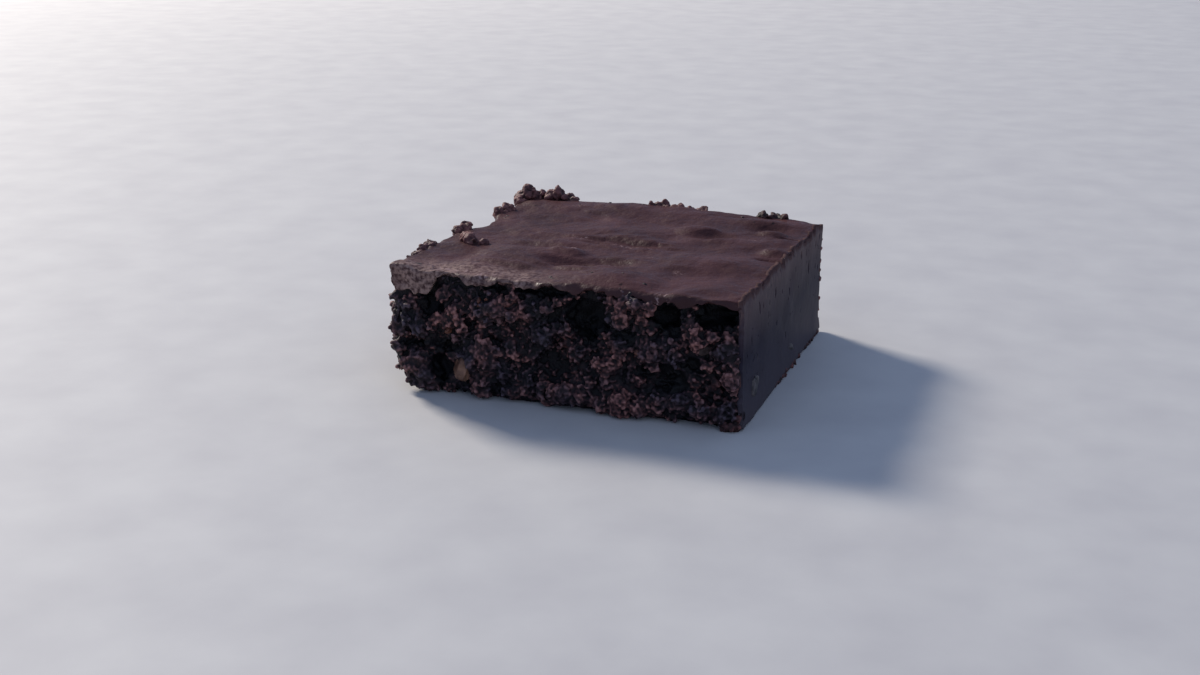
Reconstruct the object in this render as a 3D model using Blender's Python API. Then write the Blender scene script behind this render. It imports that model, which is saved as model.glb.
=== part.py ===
"""One square of chocolate orange brownie, cut from a tray and lying flat.

The front, left and back sides are torn, with a thin crust lip over crumbly
fudge and air holes. The right side is a clean knife cut. Pieces of nut sit in
the fudge and show at the front and at the cut. Metres, +Z up, and the origin
is under the middle of the square, on the face that it lies on.
"""

import math
import random

import bmesh
import bpy
from mathutils import Matrix, Vector, noise

MM = 0.001

# Driving sizes of the square.
WIDTH = 72 * MM
DEPTH = 68 * MM
HEIGHT = 25 * MM
CRUST = 1.3 * MM
LIP_LEDGE = 0.25 * MM
UNDER_LIP = HEIGHT - CRUST
# At the left end of the front the crust hangs down as a flap.
FLAP_DROP = 2.7 * MM
FLAP_FROM = -24.5 * MM
FLAP_FULL = -29.5 * MM

# How fine the skin of the block is before it is thinned out.
CELL_ACROSS = 1.45 * MM
CELL_UP = 1.35 * MM

# The torn sides stand back by this much under the crust, on average.
TORN_BACK = 0.6 * MM
TEAR_REACH = 12 * MM
CRAG = 0.85 * MM
CRAG_SIZE = 3.4 * MM
CRUMB_ROUGH = 0.45 * MM
CRUMB_ROUGH_SIZE = 1.5 * MM

# Swells and dents of the top crust: across, along, half width, half length, height.
TOP_FORMS = [
    (-15, -16, 9, 7, 1.0),
    (-7, -10, 4, 3, 0.8),
    (-4.5, -17, 6, 2.6, -1.3),
    (3.5, -14.5, 7, 3.2, -0.9),
    (7.5, -28, 11, 6, 0.9),
    (-24, -26, 8, 6, 0.5),
    (13, 15.5, 4, 3.2, 0.9),
    (17, 12.5, 3.6, 2.6, -0.9),
    (32.5, 5, 3.4, 2.8, 0.7),
    (27, 22, 5, 3.4, -0.8),
    (24, 27, 6, 3, 0.7),
    (2, 1.5, 9, 2, -0.5),
    (20, -8, 11, 7, 0.5),
    (-20, 8, 10, 7, 0.4),
    (-4, 31, 24, 9, 0.9),
    (-27, 27, 8, 6, 0.6),
]

# Air holes in the front: across, up, half width, half height, depth.
FRONT_HOLES = [
    (-28, 18.8, 3.0, 2.3, 3.6),
    (-25, 5.5, 2.7, 4.6, 3.4),
    (-13.5, 22.6, 2.2, 0.9, 2.0),
    (-2.5, 22.9, 4.8, 1.0, 2.4),
    (-2.8, 8.6, 5.2, 3.6, 1.7),
    (6.6, 18.9, 3.8, 4.7, 5.2),
    (5.5, 11.0, 4.4, 2.8, 1.7),
    (17.5, 15.6, 3.0, 0.9, 1.6),
    (17.0, 9.2, 2.2, 1.3, 1.5),
    (20.8, 20.0, 3.2, 2.9, 4.6),
    (21.2, 8.4, 3.2, 3.2, 2.0),
    (31.3, 21.6, 4.4, 2.8, 5.4),
    (29.8, 7.0, 5.2, 3.0, 2.0),
    (-31, 9.6, 4.6, 0.6, 1.2),
]

# Rounded lumps that stand out of the front, in the same order.
FRONT_LUMPS = [
    (14.8, 22.0, 4.2, 3.4, 1.9),
    (-12.9, 19.6, 4.6, 2.4, 1.5),
    (27.0, 18.4, 3.4, 3.2, 1.6),
    (9.8, 13.2, 2.6, 5.0, 1.1),
    (21.4, 14.2, 4.6, 2.2, 1.5),
    (11.0, 4.0, 13.0, 2.6, 0.9),
    (-8.0, 14.5, 6.0, 3.0, 0.8),
    (-31.5, 5.2, 3.4, 3.4, 1.2),
    (-32.5, 14.0, 3.0, 3.0, 0.9),
]

SIDE_HOLES = 9
SIDE_LUMPS = 8

# The lower left corner of the front is rubbed away and lifts off the plate.
WORN_CORNER = 4.2 * MM
WORN_HEIGHT = 6.5 * MM
LIFTED_FROM = -14 * MM
LIFTED_FULL = -27 * MM
LIFT = 1.8 * MM

# The knife dragged the cut side out by this much at its foot.
CUT_FLARE = 0.5 * MM

# Slits where the knife opened air holes: along the cut, up, half height.
CUT_SLITS = [
    (21.0, 17.6, 1.5),
    (-8.8, 20.2, 1.2),
    (-21.4, 20.4, 1.1),
    (3.6, 17.2, 0.8),
    (13.5, 21.6, 0.8),
    (-14.5, 17.0, 0.8),
    (27.0, 21.4, 0.7),
    (-27.0, 15.5, 0.7),
]
SLIT_WIDE = 0.5 * MM
SLIT_DEEP = 1.1 * MM
# Crumb that fell out of the foot of the cut: along, up, half length, half height, depth.
CUT_GAPS = [
    (-29.6, 1.6, 2.6, 2.0, 1.6),
    (31.8, 1.8, 2.8, 2.4, 1.6),
    (-17.0, 0.6, 3.0, 1.2, 0.8),
    (12.0, 0.6, 5.0, 1.3, 0.8),
]

# Nut pieces: name, centre, half sizes, turn about the upright.
NUTS = [
    ("nut_low_front", (-20.4, -33.2, 5.4), (2.7, 2.3, 3.1), 20),
    ("nut_high_front", (27.6, -32.6, 15.4), (2.4, 2.2, 2.3), -15),
    ("nut_near_cut", (34.6, -24.0, 5.8), (1.7, 2.4, 2.0), 5),
    ("nut_far_cut", (34.7, 5.6, 4.6), (1.6, 2.9, 1.6), -4),
]
NUT_GAP = 0.35 * MM

# Torn scraps of crust and crumb along the left and back edges of the top:
# centre across, along and up, and half size.
EDGE_SCRAPS = [
    (-35.0, 32.6, 26.2, 2.6),
    (-33.2, 33.2, 27.6, 1.9),
    (-31.2, 33.4, 26.2, 2.5),
    (-28.4, 33.6, 26.6, 2.2),
    (-25.6, 33.8, 26.0, 2.0),
    (-22.8, 33.8, 25.7, 1.6),
    (-34.4, 29.6, 25.6, 1.7),
    (-34.6, 20.2, 25.4, 1.9),
    (-35.4, 17.6, 25.0, 1.9),
    (-35.6, 3.8, 25.4, 1.8),
    (-35.2, 1.6, 25.0, 1.5),
    (-35.7, -10.6, 25.0, 1.6),
    (-35.4, -12.6, 24.6, 1.2),
    (-35.7, -18.0, 25.3, 1.2),
    (-35.5, -26.5, 24.5, 1.3),
    (-35.3, -32.6, 24.7, 1.3),
    (-3.2, 33.6, 25.6, 1.8),
    (-0.6, 33.8, 25.8, 1.6),
    (2.0, 33.5, 25.5, 1.8),
    (5.4, 33.7, 25.6, 1.6),
    (8.2, 33.7, 25.4, 1.4),
    (22.4, 33.4, 25.5, 1.7),
    (24.8, 33.7, 25.6, 1.6),
    (27.2, 33.5, 25.4, 1.4),
    (-28.8, -7.4, 25.2, 1.6),
    (-27.0, -6.6, 25.2, 1.3),
]

# Granules of crumb spread over the torn sides.
GRANULES = {"front": 44, "left": 16, "back": 16}
GRANULE_LEAST = 0.9 * MM
GRANULE_MOST = 1.9 * MM
SEED = 41

# Triangles kept in the skin of the block, and then in the finished square.
BLOCK_TRIANGLES = 6200
KEPT_TRIANGLES = 9800


def soft_step(value):
    """0 below 0, 1 above 1, and smooth between."""
    value = min(max(value, 0.0), 1.0)
    return value * value * (3 - 2 * value)


def bump(dx, dz):
    """1 in the middle of an oval whose half sizes are 1, and 0 outside it."""
    return soft_step(1.25 * (1 - math.hypot(dx, dz)))


def wobble(point, size, salt):
    """Smooth noise from about -1 to 1 with features of the given size."""
    return noise.noise(Vector(point) / size + Vector((salt, 2.3 * salt, 5.1 * salt)))


def top_at(x, y):
    """Height of the crust."""
    height = HEIGHT + 0.25 * MM * wobble((x, y, 0), 9 * MM, 3)
    for across, along, wide, long, rise in TOP_FORMS:
        dx = (x - across * MM) / (1.35 * wide * MM)
        dy = (y - along * MM) / (1.35 * long * MM)
        height += rise * MM * bump(dx, dy)
    return height


def side_forms(side):
    """Air holes and lumps of a torn side, as (across, up, half width, half height, depth)."""
    if side == "front":
        holes = FRONT_HOLES
        lumps = FRONT_LUMPS
    else:
        draw = random.Random(SEED + len(side))
        holes = [
            (
                draw.uniform(-31, 31),
                draw.uniform(4, 22),
                draw.uniform(1.8, 4.4),
                draw.uniform(1.0, 3.4),
                draw.uniform(1.4, 4.4),
            )
            for _ in range(SIDE_HOLES)
        ]
        lumps = [
            (
                draw.uniform(-31, 31),
                draw.uniform(3, 21),
                draw.uniform(2.4, 5.5),
                draw.uniform(2.0, 3.6),
                draw.uniform(0.6, 1.5),
            )
            for _ in range(SIDE_LUMPS)
        ]
    return holes, lumps


FORMS = {side: side_forms(side) for side in ("front", "left", "back")}
SALT = {"front": 11, "left": 23, "back": 37}


def lip_drop(side, across):
    """How much lower than usual the crust ends at a place along a torn side."""
    drop = 0.8 * MM * wobble((across, 0, 0), 4 * MM, SALT[side] + 1)
    if side == "front":
        drop += FLAP_DROP * soft_step((FLAP_FROM - across) / (FLAP_FROM - FLAP_FULL))
    return drop


def torn_depth(side, across, up, under_crust):
    """How far a torn side stands back from its plane, inwards, at a place on it."""
    salt = SALT[side]
    edge = 0.5 * MM * wobble((across, 0, 0), 4 * MM, salt)
    edge += 0.45 * MM * wobble((across, 0, 0), 2.1 * MM, salt + 5)
    if under_crust == 0:
        return edge
    depth = TORN_BACK
    depth += CRAG * wobble((across, up, 0), CRAG_SIZE, salt + 2)
    depth += CRUMB_ROUGH * wobble((across, up, 0), CRUMB_ROUGH_SIZE, salt + 3)
    holes, lumps = FORMS[side]
    for at, high, wide, tall, deep in holes:
        depth += deep * MM * bump((across / MM - at) / (1.3 * wide), (up / MM - high) / (1.3 * tall))
    for at, high, wide, tall, out in lumps:
        depth -= out * MM * bump((across / MM - at) / (1.4 * wide), (up / MM - high) / (1.4 * tall))
    ragged_foot = 0.5 * MM * wobble((across, 0, 0), 2.6 * MM, salt + 4)
    depth += ragged_foot * soft_step(1 - up / (2 * MM))
    return edge + depth * under_crust


def near_edge(distance):
    """1 on a side, falling to 0 at the reach of a tear."""
    return soft_step(1 - distance / TEAR_REACH)


def shaped(point):
    """Moves a point of the plain block's skin to where the brownie's skin is."""
    x, y, z = point
    half_w = WIDTH / 2
    half_d = DEPTH / 2
    under = soft_step((UNDER_LIP - z) / LIP_LEDGE)
    share = z / UNDER_LIP if z < UNDER_LIP else (HEIGHT - z) / CRUST
    drop = lip_drop("front", x) * soft_step(1 - (y + half_d) / (9 * MM))
    drop += lip_drop("left", y) * soft_step(1 - (x + half_w) / (9 * MM))
    z -= drop * share
    front = torn_depth("front", x, z, under) * near_edge(y + half_d)
    back = torn_depth("back", x, z, under) * near_edge(half_d - y)
    left = torn_depth("left", y, z, under) * near_edge(x + half_w)
    worn = WORN_CORNER * soft_step(1 - z / WORN_HEIGHT)
    left += worn * near_edge(x + half_w) * soft_step((-12 * MM - y) / (14 * MM))
    flare = CUT_FLARE * soft_step(1 - z / (9 * MM)) * soft_step((x - 20 * MM) / (16 * MM))
    lifted = soft_step((LIFTED_FROM - x) / (LIFTED_FROM - LIFTED_FULL))
    lift = LIFT * lifted * near_edge(y + half_d) * soft_step(1 - z / (4 * MM))
    new_z = z / HEIGHT * top_at(x, y)
    return Vector((x + left + flare, y + front - back, new_z + lift))


def lines(low, high, step):
    count = round((high - low) / step)
    return [low + (high - low) * i / count for i in range(count + 1)]


def make_block():
    """The skin of the whole square as one closed grid."""
    xs = lines(-WIDTH / 2, WIDTH / 2, CELL_ACROSS)
    ys = lines(-DEPTH / 2, DEPTH / 2, CELL_ACROSS)
    zs = lines(0, UNDER_LIP - LIP_LEDGE, CELL_UP) + [UNDER_LIP, HEIGHT]
    bm = bmesh.new()
    made = {}

    def corner(i, j, k):
        if (i, j, k) not in made:
            made[i, j, k] = bm.verts.new(shaped((xs[i], ys[j], zs[k])))
        return made[i, j, k]

    last = (len(xs) - 1, len(ys) - 1, len(zs) - 1)
    for axis in range(3):
        one, two = [a for a in range(3) if a != axis]
        for end in (0, last[axis]):
            for a in range(last[one]):
                for b in range(last[two]):
                    ring = []
                    for da, db in ((0, 0), (1, 0), (1, 1), (0, 1)):
                        place = [0, 0, 0]
                        place[axis] = end
                        place[one] = a + da
                        place[two] = b + db
                        ring.append(corner(*place))
                    bm.faces.new(ring)
    bmesh.ops.recalc_face_normals(bm, faces=bm.faces)
    return bm


def flatten_plain_faces(bm):
    """Joins the cells of the flat underside, which need no detail."""
    flat = [f for f in bm.faces if all(v.co.z < 1e-6 for v in f.verts)]
    edges = {e for f in flat for e in f.edges if all(g in flat for g in e.link_faces)}
    bmesh.ops.dissolve_limit(
        bm,
        angle_limit=math.radians(0.5),
        verts=[],
        edges=list(edges),
    )


def object_from(bm, name):
    bmesh.ops.triangulate(bm, faces=bm.faces)
    mesh = bpy.data.meshes.new(name)
    bm.to_mesh(mesh)
    bm.free()
    obj = bpy.data.objects.new(name, mesh)
    bpy.context.scene.collection.objects.link(obj)
    return obj


def apply_modifiers(obj):
    """Replaces the object's mesh by what its modifiers make of it."""
    graph = bpy.context.evaluated_depsgraph_get()
    mesh = bpy.data.meshes.new_from_object(obj.evaluated_get(graph))
    old = obj.data
    obj.modifiers.clear()
    obj.data = mesh
    bpy.data.meshes.remove(old)


def triangle_count(obj):
    return sum(len(face.vertices) - 2 for face in obj.data.polygons)


def thin_out(obj, kept):
    """Fewer triangles, above all where the skin is nearly flat."""
    before = triangle_count(obj)
    thinning = obj.modifiers.new("thinning", "DECIMATE")
    thinning.ratio = min(1.0, kept / before)
    apply_modifiers(obj)
    print("thinned from", before, "to", triangle_count(obj), "triangles")


def pebble(centre, halves, turn, detail, rough, salt):
    """An uneven lump: a ball with its skin pushed in and out."""
    bm = bmesh.new()
    bmesh.ops.create_icosphere(bm, subdivisions=detail, radius=1.0)
    for vertex in bm.verts:
        vertex.co *= 1 + rough * noise.noise(vertex.co * 1.4 + Vector((salt, 0, salt)))
    place = Matrix.Translation(centre) @ Matrix.Rotation(turn, 4, Vector((0.2, 0.3, 1)).normalized())
    place = place @ Matrix.Diagonal((*halves, 1))
    bmesh.ops.transform(bm, matrix=place, verts=bm.verts)
    return bm


def joined(pieces, obj, operation):
    """Fuses pieces to an object, or cuts them from it, by one Boolean on a collection."""
    holder = bpy.data.collections.new("pieces to " + operation.lower())
    bpy.context.scene.collection.children.link(holder)
    for piece in pieces:
        for home in piece.users_collection:
            home.objects.unlink(piece)
        holder.objects.link(piece)
    boolean = obj.modifiers.new(operation.lower(), "BOOLEAN")
    boolean.operation = operation
    boolean.operand_type = "COLLECTION"
    boolean.collection = holder
    boolean.solver = "EXACT"
    apply_modifiers(obj)
    for piece in list(holder.objects):
        bpy.data.objects.remove(piece)
    bpy.data.collections.remove(holder)


def on_torn_side(side, across, up):
    """The place of the torn skin, and the way out of it."""
    half_w = WIDTH / 2
    half_d = DEPTH / 2
    starts = {
        "front": (across, -half_d, up),
        "left": (-half_w, across, up),
        "back": (across, half_d, up),
    }
    out = {"front": (0, -1, 0), "left": (-1, 0, 0), "back": (0, 1, 0)}
    return shaped(starts[side]), Vector(out[side])


def make_granules():
    """Rounded crumbs, fused to the torn sides so that they look broken and not cut."""
    draw = random.Random(SEED)
    made = []
    for side, count in GRANULES.items():
        half = (DEPTH if side == "left" else WIDTH) / 2
        low_end = -half + 3 * MM
        high_end = half - 2.5 * MM
        for i in range(count):
            across = low_end + (high_end - low_end) * (i + draw.uniform(0.1, 0.9)) / count
            up = draw.choice((draw.uniform(2.2, 7), draw.uniform(5, 22))) * MM
            size = draw.uniform(GRANULE_LEAST, GRANULE_MOST)
            if near_a_nut(side, across, up, size):
                continue
            place, out = on_torn_side(side, across, up)
            halves = [size * draw.uniform(0.75, 1.25) for _ in range(3)]
            centre = place - out * 0.3 * size
            turn = draw.uniform(0, math.pi)
            made.append(pebble(centre, halves, turn, 2, 0.4, i + SALT[side]))
    return [object_from(bm, f"granule_{i}") for i, bm in enumerate(made)]


def near_a_nut(side, across, up, size):
    """Whether a crumb there would cross a nut that shows at the front."""
    if side != "front":
        return False
    for _name, (x, _y, z), (wide, _deep, tall), _turn in NUTS[:2]:
        clear = max(wide, tall) * MM + size + 0.2 * MM
        if math.hypot(across - x * MM, up - z * MM) < clear:
            return True
    return False


def make_scraps():
    """Scraps of crust and crumb that the tearing left on the edges of the top."""
    draw = random.Random(SEED + 1)
    made = []
    for i, (x, y, z, size) in enumerate(EDGE_SCRAPS):
        halves = [size * MM * draw.uniform(0.75, 1.25) for _ in range(3)]
        turn = draw.uniform(0, math.pi)
        centre = Vector((x, y, z - 0.35 * size)) * MM
        made.append(pebble(centre, halves, turn, 2, 0.6, i))
    return [object_from(bm, f"scrap_{i}") for i, bm in enumerate(made)]


def make_slits():
    """Cutters for the slits and the fallen crumb of the knife-cut side."""
    made = []
    for along, up, tall in CUT_SLITS:
        centre = Vector((WIDTH / 2 + 0.17 * MM, along * MM, up * MM))
        halves = (SLIT_DEEP, SLIT_WIDE, tall * MM)
        made.append(pebble(centre, halves, 0.3, 1, 0.2, along))
    for along, up, long, tall, deep in CUT_GAPS:
        centre = Vector((WIDTH / 2 + CUT_FLARE, along * MM, up * MM))
        halves = (deep * MM + CUT_FLARE, long * MM, tall * MM)
        made.append(pebble(centre, halves, 0.2, 2, 0.5, along))
    return [object_from(bm, f"slit_{i}") for i, bm in enumerate(made)]


def nut_skin(centre, halves, turn, grown):
    """A piece of nut, or with grown above 0 the hole that it sits in."""
    place = Vector(centre) * MM
    sizes = [h * MM + grown for h in halves]
    return pebble(place, sizes, math.radians(turn), 2, 0.45, halves[0])


def trimmed_at_cut(obj, past):
    """The knife cut the nut flush with the side of the brownie."""
    bm = bmesh.new()
    bm.from_mesh(obj.data)
    everything = list(bm.verts) + list(bm.edges) + list(bm.faces)
    cut = bmesh.ops.bisect_plane(
        bm,
        geom=everything,
        plane_co=(WIDTH / 2 + past, 0, 0),
        plane_no=(1, 0, 0),
        clear_outer=True,
    )
    rim = [e for e in cut["geom_cut"] if isinstance(e, bmesh.types.BMEdge)]
    bmesh.ops.edgeloop_fill(bm, edges=rim)
    bmesh.ops.triangulate(bm, faces=bm.faces)
    bmesh.ops.recalc_face_normals(bm, faces=bm.faces)
    bm.to_mesh(obj.data)
    bm.free()


def make_nuts():
    """Each nut as a solid of its own, and the hole for it."""
    nuts = []
    holes = []
    for name, centre, halves, turn in NUTS:
        nut = object_from(nut_skin(centre, halves, turn, 0), name)
        if name.endswith("cut"):
            trimmed_at_cut(nut, 0.05 * MM)
        nuts.append(nut)
        holes.append(object_from(nut_skin(centre, halves, turn, NUT_GAP), name + "_hole"))
    return nuts, holes


def material(name, colour, roughness):
    made = bpy.data.materials.new(name)
    made.use_nodes = True
    surface = made.node_tree.nodes["Principled BSDF"]
    surface.inputs["Base Color"].default_value = (*colour, 1)
    surface.inputs["Roughness"].default_value = roughness
    surface.inputs["Metallic"].default_value = 0
    return made


def settle(obj):
    """Makes the underside one flat face at height 0."""
    for vertex in obj.data.vertices:
        if vertex.co.z < 0.04 * MM:
            vertex.co.z = 0


def centre_on_origin(objects):
    """Puts the middle of the whole box over the origin, without lifting it."""
    low = [min(v.co[a] for o in objects for v in o.data.vertices) for a in (0, 1)]
    high = [max(v.co[a] for o in objects for v in o.data.vertices) for a in (0, 1)]
    shift = Matrix.Translation((-(low[0] + high[0]) / 2, -(low[1] + high[1]) / 2, 0))
    for obj in objects:
        obj.data.transform(shift)


def clear_scene():
    for obj in list(bpy.data.objects):
        bpy.data.objects.remove(obj)


def main():
    clear_scene()
    bm = make_block()
    flatten_plain_faces(bm)
    brownie = object_from(bm, "brownie")
    thin_out(brownie, BLOCK_TRIANGLES)
    joined(make_granules() + make_scraps(), brownie, "UNION")
    nuts, holes = make_nuts()
    joined(make_slits() + holes, brownie, "DIFFERENCE")
    thin_out(brownie, KEPT_TRIANGLES)
    settle(brownie)
    fudge = material("fudge", (0.045, 0.024, 0.022), 0.62)
    brownie.data.materials.clear()
    brownie.data.materials.append(fudge)
    kernel = material("nut", (0.16, 0.085, 0.05), 0.5)
    for nut in nuts:
        nut.data.materials.append(kernel)
        nut.data.shade_smooth()
    centre_on_origin([brownie, *nuts])


main()
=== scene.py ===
# %% [markdown]
# # A square of chocolate brownie
#
# This square was cut from its tray with a knife on one side and pulled apart on the others, so one
# side is smooth and the others show the torn crumb with its air holes. A thin, satin crust lies on
# top and hangs a little over the torn sides.
#
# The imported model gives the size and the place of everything. The lesson builds a finer skin for it:
# a crumbly body, a crust, a cut side, bits of nut and the scraps that the tearing left.

import math

import bpy
import numpy as np
from mathutils import Matrix, Vector


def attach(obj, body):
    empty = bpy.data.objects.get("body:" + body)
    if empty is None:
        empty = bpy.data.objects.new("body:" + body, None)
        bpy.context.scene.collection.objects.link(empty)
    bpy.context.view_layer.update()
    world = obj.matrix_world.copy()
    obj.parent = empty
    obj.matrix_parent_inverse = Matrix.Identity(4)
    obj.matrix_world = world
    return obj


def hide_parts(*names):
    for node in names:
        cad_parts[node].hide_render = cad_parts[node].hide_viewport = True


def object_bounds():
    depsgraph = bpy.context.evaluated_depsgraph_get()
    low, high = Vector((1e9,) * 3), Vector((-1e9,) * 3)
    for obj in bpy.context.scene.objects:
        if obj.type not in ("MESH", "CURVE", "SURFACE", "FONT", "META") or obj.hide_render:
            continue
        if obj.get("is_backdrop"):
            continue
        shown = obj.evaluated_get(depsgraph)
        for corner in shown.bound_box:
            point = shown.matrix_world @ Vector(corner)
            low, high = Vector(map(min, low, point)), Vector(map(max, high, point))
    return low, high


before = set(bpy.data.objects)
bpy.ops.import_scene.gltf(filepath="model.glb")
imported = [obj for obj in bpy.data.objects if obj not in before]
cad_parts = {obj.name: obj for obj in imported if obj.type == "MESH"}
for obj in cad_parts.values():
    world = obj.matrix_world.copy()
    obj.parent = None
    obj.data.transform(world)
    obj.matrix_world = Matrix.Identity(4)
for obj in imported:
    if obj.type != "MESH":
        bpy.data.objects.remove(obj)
solid_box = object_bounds()
print("box of the solids in mm:", [[round(c * 1000, 1) for c in corner] for corner in solid_box])

# %% [markdown]
# ## Sizes
#
# Everything is in millimetres, with the block's middle at zero across and along, and zero up at the
# plate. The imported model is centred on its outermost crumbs, so each finished piece is moved over by
# a small step at the end. One source of chance, with a fixed start, makes every random choice, so
# the lesson gives the same brownie each time it runs.

# %% Driving sizes
MM = 0.001
HALF_WIDE = 36.0
HALF_DEEP = 34.0
HIGH = 25.0
TO_MODEL = Matrix.Translation(Vector((0.68, -0.25, 0)) * MM)
chance = np.random.default_rng(41)
print("block:", 2 * HALF_WIDE, "x", 2 * HALF_DEEP, "x", HIGH, "mm")

# %% [markdown]
# ## The camera
#
# The camera comes first, because every later choice is judged through it. It stands a little to the
# right of the torn front and about 16 degrees above the plate. Its own right, up and backward
# directions together make its turn.

# %% Camera
bpy.ops.object.camera_add()
camera = bpy.context.object
camera.name = "camera"
to_right = Vector((0.9387, 0.3448, -0.001)).normalized()
ahead = Vector((-0.3286, 0.8938, -0.3051)).normalized()
upward = to_right.cross(ahead)
turn = Matrix((to_right, upward, -ahead)).transposed().to_4x4()
camera.matrix_world = TO_MODEL @ Matrix.Translation(Vector((101.14, -285.89, 101.6)) * MM) @ turn
camera.data.lens = 45
camera.data.sensor_width = 36
camera.data.clip_start = 0.01
bpy.context.scene.camera = camera
print("camera", round(camera.matrix_world.translation.length * 1000), "mm from the middle")

# %% [markdown]
# ## Small tools
#
# Blender's operators act on what is selected, so one helper picks a single piece. Others apply its
# modifiers, or run an operator of edit mode. The rest read points, normals and edges into arrays and
# write points back, which is how the uneven forms of a cake are shaped: thousands move by one rule.

# %% Picking, applying and moving points
def pick(piece):
    """Selects this piece and nothing else."""
    bpy.ops.object.select_all(action="DESELECT")
    piece.select_set(True)
    bpy.context.view_layer.objects.active = piece


def apply_modifiers(piece):
    pick(piece)
    for modifier in list(piece.modifiers):
        bpy.ops.object.modifier_apply(modifier=modifier.name)


def edit_whole(piece, operator, **settings):
    """Runs one operator of edit mode on the whole mesh."""
    pick(piece)
    bpy.ops.object.mode_set(mode="EDIT")
    bpy.ops.mesh.select_all(action="SELECT")
    operator(**settings)
    bpy.ops.object.mode_set(mode="OBJECT")


def rows_of(items, name, width, kind):
    """What Blender stores under this name, one row for each point, edge or face."""
    flat = np.empty(len(items) * width, kind)
    items.foreach_get(name, flat)
    return flat.reshape(-1, width)


def points_of(piece):
    """The mesh's points in millimetres."""
    return rows_of(piece.data.vertices, "co", 3, np.float32).astype(float) / MM


def normals_of(piece):
    return rows_of(piece.data.vertices, "normal", 3, np.float32).astype(float)


def set_points(piece, points):
    piece.data.vertices.foreach_set("co", (points * MM).astype(np.float32).ravel())
    piece.data.update()


def edge_ends(piece):
    """The numbers of the two points of every edge, as two rows."""
    return rows_of(piece.data.edges, "vertices", 2, np.int32).T


def set_mark(piece, name, values):
    """Stores one value for each point, which a finish can read by this name."""
    mark = piece.data.attributes.new(name, "FLOAT", "POINT")
    mark.data.foreach_set("value", values.astype(np.float32))


def triangles_of(piece):
    return int((rows_of(piece.data.polygons, "loop_total", 1, np.int32) - 2).sum())


print("tools ready")

# %% [markdown]
# ## Uneven by rule
#
# Baked dough is uneven at every size. The function below gives smooth random waves in space: it
# blends between fixed random numbers at the corners of a grid. The same place always gets the same
# value, and another salt gives other waves.

# %% Waves
def ease(value):
    """0 below 0, 1 above 1 and smooth between."""
    value = np.clip(value, 0, 1)
    return value * value * (3 - 2 * value)


def waves(points, size, salt):
    """Smooth random values from about -1 to 1, with bumps of the given size."""
    spread = points / size + 17.31 * salt
    cell = np.floor(spread).astype(np.int64)
    part = ease(spread - cell)
    total = np.zeros(len(points))
    for corner in range(8):
        step = np.array([corner & 1, corner >> 1 & 1, corner >> 2 & 1])
        key = (cell + step) @ np.array([73856093, 19349663, 83492791])
        key = (key ^ key >> 13) * 1274126177 & 0x7FFFFFFF
        value = (key >> 8 & 0xFFFF) / 32767.5 - 1
        total += value * np.prod(np.where(step, part, 1 - part), axis=1)
    return total


def line_waves(along, size, salt):
    """The same waves along a line."""
    flat = np.zeros((len(along), 3))
    flat[:, 0] = along
    return waves(flat, size, salt)


print("waves run from", *np.round(np.percentile(waves(chance.uniform(0, 50, (999, 3)), 3, 1), [1, 99]), 2))

# %% [markdown]
# ## Strewing many small lumps
#
# Torn cake is covered in rounded crumbs. A few rough pebbles are modelled and copied to many places,
# each copy turned and stretched its own way. Arrays make the thousands of copies, because Blender
# needs a moment for every object but not for every point.

# %% Pebbles and strewing
def rough_pebble(detail, rough, salt):
    """The points and faces of one uneven ball of radius 1."""
    bpy.ops.mesh.primitive_ico_sphere_add(subdivisions=detail, radius=1)
    ball = bpy.context.object
    points = points_of(ball) * MM
    points *= 1 + rough * waves(points, 0.9, salt)[:, None]
    faces = np.array([face.vertices[:] for face in ball.data.polygons])
    bpy.data.meshes.remove(ball.data)
    return points, faces


def random_turns(count):
    """As many random rotations, as 3 by 3 tables."""
    spins = chance.normal(size=(count, 4))
    w, x, y, z = (spins / np.linalg.norm(spins, axis=1, keepdims=True)).T
    return np.stack([
        np.stack([1 - 2 * (y * y + z * z), 2 * (x * y - z * w), 2 * (x * z + y * w)], 1),
        np.stack([2 * (x * y + z * w), 1 - 2 * (x * x + z * z), 2 * (y * z - x * w)], 1),
        np.stack([2 * (x * z - y * w), 2 * (y * z + x * w), 1 - 2 * (x * x + y * y)], 1),
    ], 1)


def strew(name, pebbles, places, halves, turned=True):
    """One mesh of rough pebbles at these places, with these half sizes, in millimetres."""
    turns = random_turns(len(places)) if turned else np.tile(np.eye(3), (len(places), 1, 1))
    all_points, all_faces, start = [], [], 0
    for i, (points, faces) in enumerate(pebbles):
        mine = np.arange(i, len(places), len(pebbles))
        sized = points[None] * halves[mine][:, None]
        copies = np.einsum("mij,mnj->mni", turns[mine], sized) + places[mine][:, None]
        shift = start + len(points) * np.arange(len(mine))
        all_points.append(copies.reshape(-1, 3))
        all_faces.append((faces[None] + shift[:, None, None]).reshape(-1, 3))
        start += len(mine) * len(points)
    points = np.concatenate(all_points)
    faces = np.concatenate(all_faces)
    mesh = bpy.data.meshes.new(name)
    mesh.vertices.add(len(points))
    mesh.vertices.foreach_set("co", (points * MM).astype(np.float32).ravel())
    mesh.loops.add(faces.size)
    mesh.loops.foreach_set("vertex_index", faces.ravel().astype(np.int32))
    mesh.polygons.add(len(faces))
    mesh.polygons.foreach_set("loop_start", (np.arange(len(faces)) * 3).astype(np.int32))
    mesh.update(calc_edges=True)
    piece = bpy.data.objects.new(name, mesh)
    bpy.context.scene.collection.objects.link(piece)
    return piece


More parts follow.
